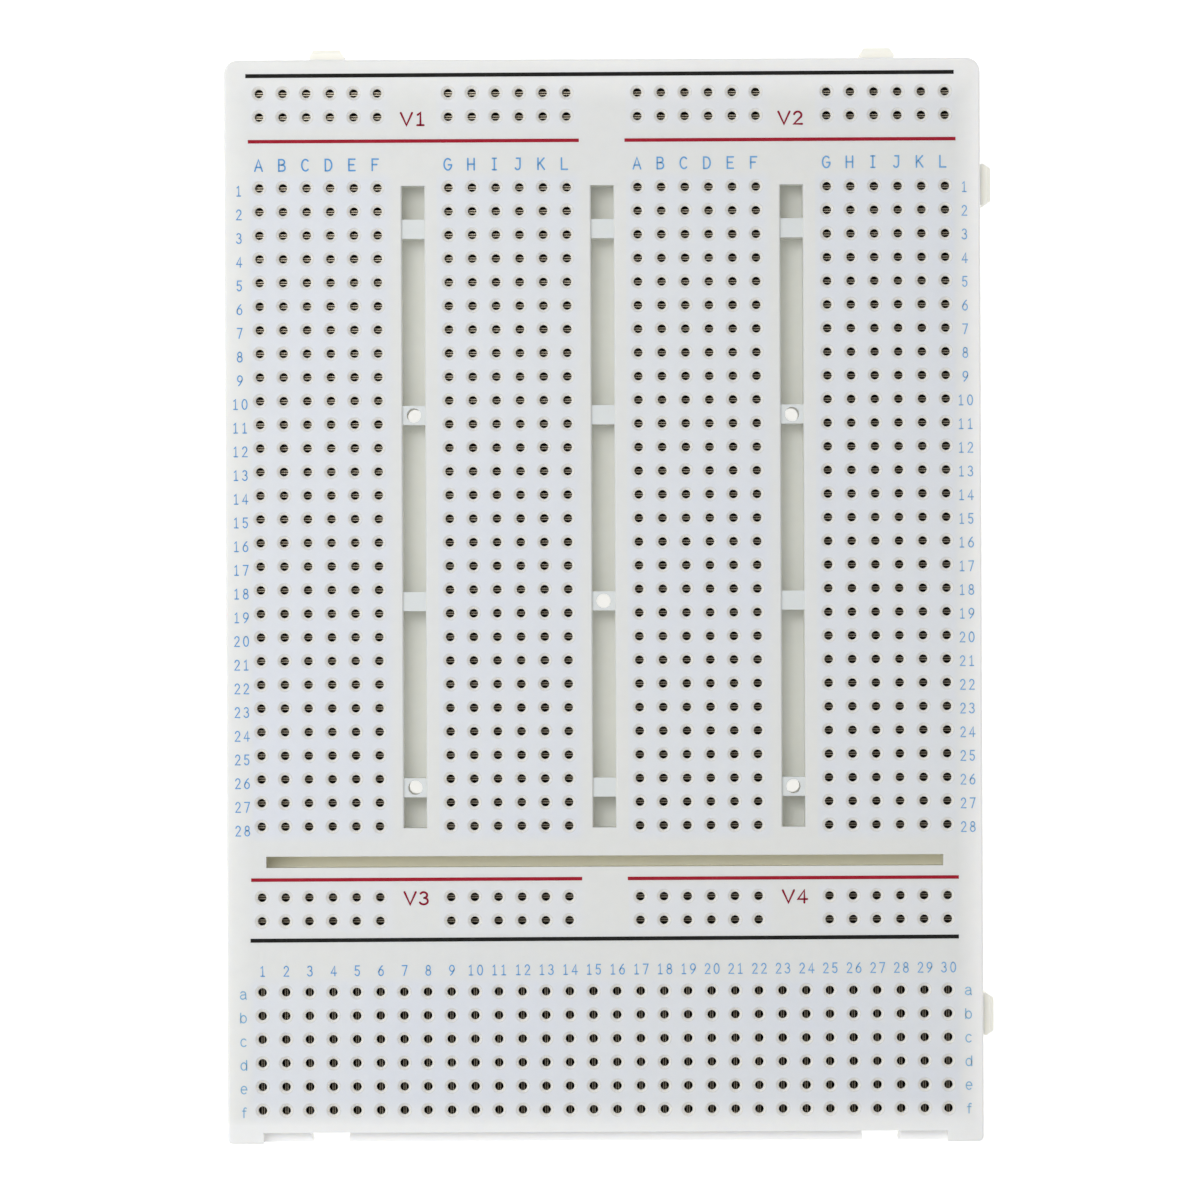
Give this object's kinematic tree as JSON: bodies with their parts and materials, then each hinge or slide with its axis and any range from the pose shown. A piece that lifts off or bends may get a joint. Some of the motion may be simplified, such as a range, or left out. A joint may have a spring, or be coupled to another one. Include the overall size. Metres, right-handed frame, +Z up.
{
  "type": "solderless breadboard",
  "caption": "Flat plastic prototyping board: a grid of holes over sprung metal contact clips, three crossbarred channels, supply rails, dovetail edges and a self-adhesive foam back.",
  "frame": {"origin": "on the axis of the middle screw hole, which is the middle of the tie-point grid, at the level of the surface that the board lies on; the box's middle is 0.6 mm away because tabs stand out on two sides only", "axes": "+Z up out of the tie-point face, +X to the right along the lettered columns, +Y to the rear, towards row 1"},
  "size_m": [0.0824, 0.1176, 0.0096],
  "materials": {
    "housing_plastic": "satin moulded white ABS, slightly translucent",
    "contact_metal": "nickel-plated phosphor bronze spring strip",
    "foam": "closed-cell white foam with adhesive faces",
    "liner_paper": "waxed release paper",
    "blue_ink": "printed ink of the row and column labels",
    "red_ink": "printed ink of the supply rail lines and labels",
    "black_ink": "printed ink of the ground rail lines"
  },
  "bodies": {
    "root": {"column_01_02_clips": "contact_metal", "column_03_04_clips": "contact_metal", "column_05_06_clips": "contact_metal", "column_07_08_clips": "contact_metal", "column_09_10_clips": "contact_metal", "column_11_12_clips": "contact_metal", "column_13_14_clips": "contact_metal", "column_15_16_clips": "contact_metal", "column_17_18_clips": "contact_metal", "column_19_20_clips": "contact_metal", "column_21_22_clips": "contact_metal", "column_23_24_clips": "contact_metal", "column_25_26_clips": "contact_metal", "column_27_28_clips": "contact_metal", "column_29_30_clips": "contact_metal", "foam_tape": "foam", "housing": "housing_plastic", "rail_ground_front": "contact_metal", "rail_ground_rear": "contact_metal", "rail_v1": "contact_metal", "rail_v2": "contact_metal", "rail_v3": "contact_metal", "rail_v4": "contact_metal", "release_liner": "liner_paper", "row_01_clips": "contact_metal", "row_02_clips": "contact_metal", "row_03_clips": "contact_metal", "row_04_clips": "contact_metal", "row_05_clips": "contact_metal", "row_06_clips": "contact_metal", "row_07_clips": "contact_metal", "row_08_clips": "contact_metal", "row_09_clips": "contact_metal", "row_10_clips": "contact_metal", "row_11_clips": "contact_metal", "row_12_clips": "contact_metal", "row_13_clips": "contact_metal", "row_14_clips": "contact_metal", "row_15_clips": "contact_metal", "row_16_clips": "contact_metal", "row_17_clips": "contact_metal", "row_18_clips": "contact_metal", "row_19_clips": "contact_metal", "row_20_clips": "contact_metal", "row_21_clips": "contact_metal", "row_22_clips": "contact_metal", "row_23_clips": "contact_metal", "row_24_clips": "contact_metal", "row_25_clips": "contact_metal", "row_26_clips": "contact_metal", "row_27_clips": "contact_metal", "row_28_clips": "contact_metal"}
  },
  "joints": []
}
